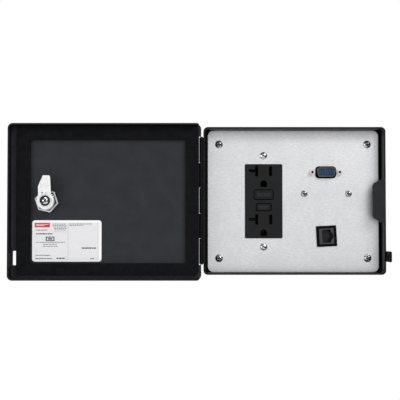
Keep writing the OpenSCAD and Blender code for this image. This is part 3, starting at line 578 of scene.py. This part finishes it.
def threaded_rod(bm, place, length, crest, depth, pitch, bore=0.0, chamfer=0.5 * MM):
    rows = max(MIN_ROWS, round(length / pitch * ROWS_PER_PITCH))
    turned(bm, place, BACK, length, THREAD_SIDES, rows,
           thread_radius(crest, depth, pitch, length, chamfer), bore)


def disc(bm, place, length, radius, edge=0.2 * MM):
    turned(bm, place, BACK, length, DISC_SIDES, max(MIN_ROWS, round(length / edge)),
           plain_radius(radius, edge, length))


def mounting_studs():
    """Four welded studs: a flat head inside the housing and a threaded shank behind."""
    low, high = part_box("mounting_studs")
    head_r, head_t = 4 * MM, 1.4 * MM
    stud_r, groove, pitch = 2.5 * MM, 0.38 * MM, 0.8 * MM
    sunk = 0.2 * MM
    shank_y = low.y + head_t
    thread_y = 0.6 * MM
    bm = bmesh.new()
    for x, z in centres("mounting_studs", head_r, head_r):
        disc(bm, Vector((x, low.y, z)), head_t, head_r)
        disc(bm, Vector((x, shank_y - sunk, z)), thread_y - shank_y + 2 * sunk, stud_r)
        threaded_rod(bm, Vector((x, thread_y, z)), high.y - thread_y, stud_r, groove, pitch,
                     chamfer=pitch)
    piece = new_piece("mounting_stud_threads", bm, "zinc", "housing")
    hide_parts("mounting_studs")


def hex_nut(bm, place, length, across_flats, bore):
    """Six-sided nut with its corners turned off at both ends."""
    flat = across_flats / 2
    corner_cut = flat * 1.09

    def radius_at(run, turn):
        angle = turn * math.tau % (math.tau / 6) - math.tau / 12
        near = min(run, length - run)
        return min(flat / math.cos(angle), corner_cut + near * 1.2)
    turned(bm, place, BACK, length, NUT_SIDES, NUT_ROWS, radius_at, bore)


def bonding_stud():
    """Threaded stud with a washer and a nut behind the plate, for the bonding wire."""
    low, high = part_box("bonding_stud")
    centre = middle("bonding_stud")
    at = Vector((centre.x, low.y, centre.z))
    washer_t, washer_r = 1 * MM, 4 * MM
    nut_start, nut_t, nut_flats, nut_bore = 1.4 * MM, 2.6 * MM, 7 * MM, 1.7 * MM
    thread_start, stud_r, groove, pitch = 0.8 * MM, 2 * MM, 0.3 * MM, 0.7 * MM
    bm = bmesh.new()
    disc(bm, at, washer_t, washer_r)
    hex_nut(bm, at + BACK * nut_start, nut_t, nut_flats, nut_bore)
    threaded_rod(bm, at + BACK * thread_start, high.y - low.y - thread_start, stud_r, groove,
                 pitch)
    piece = new_piece("bonding_stud_thread", bm, "zinc", "housing")
    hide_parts("bonding_stud")


def barrel_thread():
    """The lock barrel's thread, seen between its nut and the cam."""
    centre = middle("lock_barrel")
    front_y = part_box("lock_barrel")[0].y
    nut_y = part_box("lock_nut")[0].y
    crest, groove, pitch, bore = 8.05 * MM, 0.3 * MM, 1 * MM, 7.5 * MM
    bm = bmesh.new()
    threaded_rod(bm, Vector((centre.x, front_y, centre.z)), nut_y - front_y, crest, groove,
                 pitch, bore, chamfer=0.0)
    new_piece("lock_barrel_thread", bm, "chrome", "door")


def tube(bm, points, radius):
    """Adds a closed round tube along points."""
    sides = 8
    rings = []
    side = None
    for i, point in enumerate(points):
        ahead = points[min(i + 1, len(points) - 1)] - points[max(i - 1, 0)]
        ahead.normalize()
        side = ahead.orthogonal() if side is None else side - ahead * side.dot(ahead)
        side.normalize()
        up = ahead.cross(side)
        rings.append([bm.verts.new(point + side * (radius * math.cos(a * math.tau / sides))
                                   + up * (radius * math.sin(a * math.tau / sides)))
                      for a in range(sides)])
    for near, far in zip(rings, rings[1:]):
        band(bm, near, far)
    bm.faces.new(rings[0])
    bm.faces.new(rings[-1])


def button_spring(spring):
    """Coil spring behind a button, built at its rest length; the real spring shortens as the
    button is pressed.
    """
    low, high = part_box(spring)
    centre = middle(spring)
    wire, turns, steps = 0.25 * MM, 6, 24
    radius = (high.x - low.x) / 2 - wire
    length = high.y - low.y - 2 * wire
    points = []
    for i in range(turns * steps + 1):
        share = i / (turns * steps)
        # Three quarters of the first and the last turn lie flat, as on a ground spring.
        run = min(1.0, max(0.0, (share * turns - 0.75) / (turns - 1.5)))
        angle = share * turns * math.tau
        points.append(Vector((centre.x + radius * math.cos(angle),
                              low.y + wire + run * length,
                              centre.z + radius * math.sin(angle))))
    bm = bmesh.new()
    tube(bm, points, wire)
    piece = new_piece(spring + "_coil", bm, "spring_steel", "housing")
    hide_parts(spring)
    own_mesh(piece)


def sensing_coils():
    """Two ring cores, each wound with wire."""
    low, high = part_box("sensing_coils")
    centre = middle("sensing_coils")
    windings, ridge_share = 44, 0.09
    around, through = 4 * windings, 16
    reach, hole = (high.x - low.x) / 2, 2.8 * MM
    core_r, thick = (reach + hole) / 2, (reach - hole) / 2
    apart = 0.4 * MM
    half_height = (high.y - low.y - apart) / 4
    for index in (0, 1):
        plane_y = low.y + half_height + index * (2 * half_height + apart)
        bm = bmesh.new()
        rings = []
        for i in range(around):
            angle = i / around * math.tau
            ridge = 1 - ridge_share * (1 + math.cos(windings * angle)) / 2
            out = Vector((math.cos(angle), 0, math.sin(angle)))
            ring = []
            for j in range(through):
                turn = j / through * math.tau
                # A rounded square section, as the wire lies over a flat ring core.
                flatness = (abs(math.cos(turn)) ** 4 + abs(math.sin(turn)) ** 4) ** -0.25
                ring.append(bm.verts.new(
                    Vector((centre.x, plane_y, centre.z))
                    + out * (core_r + thick * ridge * flatness * math.cos(turn))
                    + BACK * (half_height * ridge * flatness * math.sin(turn))))
            rings.append(ring)
        for i in range(around):
            band(bm, rings[i], rings[(i + 1) % around])
        piece = new_piece(f"sensing_coil_{index + 1}", bm, "copper", "housing")
        if index == 0:
            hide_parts("sensing_coils")


def nut_rim():
    """Painted highlight: a pale matt ring on the bevelled rim round the lock nut's front face.
    """
    face_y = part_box("lock_nut")[0].y
    centre = middle("lock_nut")
    width, height, sunk = 1.5 * MM, 0.25 * MM, 0.02 * MM
    margin, near = 0.15 * MM, 0.05 * MM

    def away(point):
        return math.hypot(point.x - centre.x, point.z - centre.z)

    front = [v.co for v in NODES["lock_nut"].data.vertices if v.co.y < face_y + near]
    reach = max(away(point) for point in front)
    corners = {round(math.degrees(math.atan2(point.z - centre.z, point.x - centre.x)))
               for point in front if away(point) > reach - near}
    bm = bmesh.new()
    rings = []
    for shrink, out in ((margin, sunk), (width / 2, height), (width, sunk)):
        rings.append([bm.verts.new((centre.x + (reach - shrink) * math.cos(math.radians(turn)),
                                    face_y - out,
                                    centre.z + (reach - shrink) * math.sin(math.radians(turn))))
                      for turn in sorted(corners)])
    for outer, inner in zip(rings, rings[1:]):
        band(bm, outer, inner)
    new_piece("lock_nut_rim", bm, "nut_rim_highlight", "door")


# ---------------------------------------------------------------- label print

def plate_face(bm, x0, x1, z0, z1, front, back, edge=0.0):
    """Adds a thin closed box, its face towards the viewer at front."""
    corners = [(x0 + edge, z0), (x1 - edge, z0), (x1, z0 + edge), (x1, z1 - edge),
               (x1 - edge, z1), (x0 + edge, z1), (x0, z1 - edge), (x0, z0 + edge)]
    if not edge:
        corners = corners[1::2]
    near = [bm.verts.new((x, front, z)) for x, z in corners]
    far = [bm.verts.new((x, back, z)) for x, z in corners]
    bm.faces.new(near)
    bm.faces.new(far)
    band(bm, near, far)


# Lines of print on the label: left end, right end, distance below the label's top edge
# and height, in millimetres from its top left corner
FINE_LINES = [(18.0 + 0.5 * row, 30.6, 3.4 + 1.3 * row, 0.55) for row in range(5)] + [
    (3.6, 13.6, 8.8, 0.7), (3.8, 29.6, 19.7, 0.6), (10.0, 22.6, 21.4, 0.6),
    (9.4, 23.0, 23.2, 0.6), (3.0, 16.4, 31.3, 0.7), (3.0, 17.6, 34.1, 0.8),
    (33.3, 53.8, 3.3, 0.6), (33.3, 45.8, 4.6, 0.6),
]
BOLD_LINES = [
    (3.6, 18.0, 12.1, 1.0), (44.4, 57.8, 24.8, 1.1), (21.8, 29.2, 33.9, 1.0),
    (52.2, 55.2, 34.1, 0.8),
]
# Plain areas: left, right, top and bottom, in the same measure
FIELDS = [(2.0, 32.0, 2.2, 36.1), (32.4, 59.8, 2.2, 36.1)]
RED_BLOCK = [(2.2, 15.8, 2.3, 6.3)]
BLOCK_STRIPES = [(3.4, 14.6, 3.6, 3.95), (3.4, 11.0, 4.6, 4.95)]
RULES = [(32.05, 32.25, 3.0, 35.6), (18.0, 31.6, 10.3, 10.45)]
# A plain framed mark
FRAMED_MARK = [(12.2, 20.0, 14.6, 15.4), (12.2, 20.0, 17.8, 18.6), (12.2, 13.1, 15.4, 17.8),
               (19.1, 20.0, 15.4, 17.8), (14.2, 18.0, 16.0, 17.2)]
WORD_SEED = 7
WORD_LENGTHS = (1.0, 2.8)
WORD_GAP = 0.45
SHORTEST_WORD = 0.4


def label_print():
    """Generic print on the door's label: two fields, a red block, rules and bars."""
    low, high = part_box("rating_label")
    left, top = low.x, high.z
    layer, sunk = 0.015 * MM, 0.05 * MM
    draw = random.Random(WORD_SEED)

    def area(name, finish, depth, boxes):
        bm = bmesh.new()
        for x0, x1, z0, z1 in boxes:
            plate_face(bm, left + x0 * MM, left + x1 * MM, top - z1 * MM, top - z0 * MM,
                       low.y - depth * layer, low.y + sunk)
        new_piece(name, bm, finish, "door")

    def words(lines):
        """Lines of print as short bars of uneven length."""
        boxes = []
        for x, x1, z, height in lines:
            while x < x1 - SHORTEST_WORD:
                end = min(x1, x + draw.uniform(*WORD_LENGTHS))
                boxes.append((x, end, z - height / 2, z + height / 2))
                x = end + WORD_GAP
        return boxes

    area("label_fields", "label_field", 1, FIELDS)
    area("label_red_block", "label_red", 2, RED_BLOCK)
    area("label_block_stripes", "label_paper", 3, BLOCK_STRIPES)
    area("label_fine_print", "label_grey", 2, words(FINE_LINES))
    area("label_bold_print", "label_ink", 2, words(BOLD_LINES) + FRAMED_MARK)
    area("label_rules", "label_grey", 2, RULES)


def button_marks(button, count, body):
    """Low moulded ribs on a button, in place of lettering."""
    low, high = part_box(button)
    centre = middle(button)
    rib_w, rib_pitch, rib_edge = 1.1 * MM, 2.0 * MM, 0.25 * MM
    rib_h = (high.z - low.z) * 0.34
    proud, sunk = 0.12 * MM, 0.1 * MM
    bm = bmesh.new()
    for i in range(count):
        x = centre.x + (i - (count - 1) / 2) * rib_pitch
        plate_face(bm, x - rib_w / 2, x + rib_w / 2, centre.z - rib_h / 2, centre.z + rib_h / 2,
                   low.y - proud, low.y + sunk, rib_edge)
    new_piece(button + "_ribs", bm, "button_mark", body)


mounting_studs()
bonding_stud()
barrel_thread()
for spring_name, press in (("reset_spring", "reset_press"), ("test_spring", "test_press")):
    button_spring(spring_name)
sensing_coils()
label_print()
button_marks("reset_button", 6, "reset_cap")
button_marks("test_button", 4, "test_cap")
nut_rim()


# ---------------------------------------------------------------- studio

def aim(thing, target):
    thing.rotation_euler = (target - thing.location).to_track_quat("-Z", "Y").to_euler()


def add_camera():
    """The camera stands level with the port's lower half and looks up a little."""
    sight = Vector((-0.0851, -0.010, 0.0011))
    stand_y, stand_z = -0.860, -0.025
    data = bpy.data.cameras.new("camera")
    data.lens = 83.74
    data.sensor_width = 36
    data.clip_start = 0.01
    camera = bpy.data.objects.new("camera", data)
    camera.location = (sight.x, stand_y, stand_z)
    aim(camera, sight)
    bpy.context.scene.collection.objects.link(camera)
    bpy.context.scene.camera = camera


def add_area_light(name, place, target, width, height, power):
    data = bpy.data.lights.new(name, "AREA")
    data.shape = "RECTANGLE"
    data.size = width
    data.size_y = height
    data.energy = power
    light = bpy.data.objects.new(name, data)
    light.location = place
    aim(light, Vector(target))
    bpy.context.scene.collection.objects.link(light)


def add_world():
    """White behind the object; a soft front light that falls off to the sides."""
    world = bpy.data.worlds.new("studio")
    bpy.context.scene.world = world
    world.use_nodes = True
    nodes, links = world.node_tree.nodes, world.node_tree.links
    nodes.clear()
    place = nodes.new("ShaderNodeTexCoord")
    facing = nodes.new("ShaderNodeVectorMath")
    facing.operation = "DOT_PRODUCT"
    # From behind the camera and a little above it
    facing.inputs[1].default_value = (0, -1, 0.12)
    links.new(place.outputs["Generated"], facing.inputs[0])
    ramp = nodes.new("ShaderNodeValToRGB")
    stops = ramp.color_ramp
    stops.interpolation = "EASE"
    stops.elements[0].position = 0.0
    stops.elements[0].color = (0.05, 0.05, 0.055, 1)
    stops.elements[1].position = 1.0
    stops.elements[1].color = (1.0, 1.0, 1.0, 1)
    half = stops.elements.new(0.72)
    half.color = (0.3, 0.3, 0.31, 1)
    links.new(facing.outputs["Value"], ramp.inputs["Fac"])
    soft = nodes.new("ShaderNodeBackground")
    soft.inputs["Strength"].default_value = 1.0
    links.new(ramp.outputs["Color"], soft.inputs["Color"])
    white = nodes.new("ShaderNodeBackground")
    white.inputs["Color"].default_value = (1, 1, 1, 1)
    path = nodes.new("ShaderNodeLightPath")
    mix = nodes.new("ShaderNodeMixShader")
    links.new(path.outputs["Is Camera Ray"], mix.inputs["Fac"])
    links.new(soft.outputs["Background"], mix.inputs[1])
    links.new(white.outputs["Background"], mix.inputs[2])
    output = nodes.new("ShaderNodeOutputWorld")
    links.new(mix.outputs["Shader"], output.inputs["Surface"])


def add_floor():
    """A pale round table under the port."""
    floor_r = 0.38
    s = Surface("studio_floor", 0.8, specular=0.2)
    cloud = s.spread(s.noise(6, detail=3), 0.0, 1.0)
    s.color(s.mix(cloud, rgb(242, 242, 242), rgb(248, 248, 248)))
    bm = bmesh.new()
    bmesh.ops.create_circle(bm, cap_ends=True, segments=96, radius=floor_r)
    mesh = bpy.data.meshes.new("floor")
    bm.to_mesh(mesh)
    bm.free()
    mesh.materials.append(s.material)
    floor = bpy.data.objects.new("floor", mesh)
    floor.location = (-0.085, 0.0, -0.26)
    bpy.context.scene.collection.objects.link(floor)


# Name, place, target, width, height and power in watts
LIGHTS = [
    ("key", (0.75, -1.05, 0.85), (-0.06, 0, 0), 0.7, 0.5, 10.0),
    ("back", (0.5, 1.2, 0.5), (-0.08, 0, 0), 1.0, 0.8, 12.0),
    ("top", (-0.1, 0.1, 1.1), (-0.1, 0.1, 0), 0.9, 0.9, 7.0),
    ("fill", (-1.15, -0.9, 0.05), (-0.1, 0, 0), 0.8, 0.8, 6.0),
]

add_camera()
add_world()
add_floor()
for light in LIGHTS:
    add_area_light(*light)
bpy.context.scene.view_settings.view_transform = "Standard"
bpy.context.scene.view_settings.look = "None"
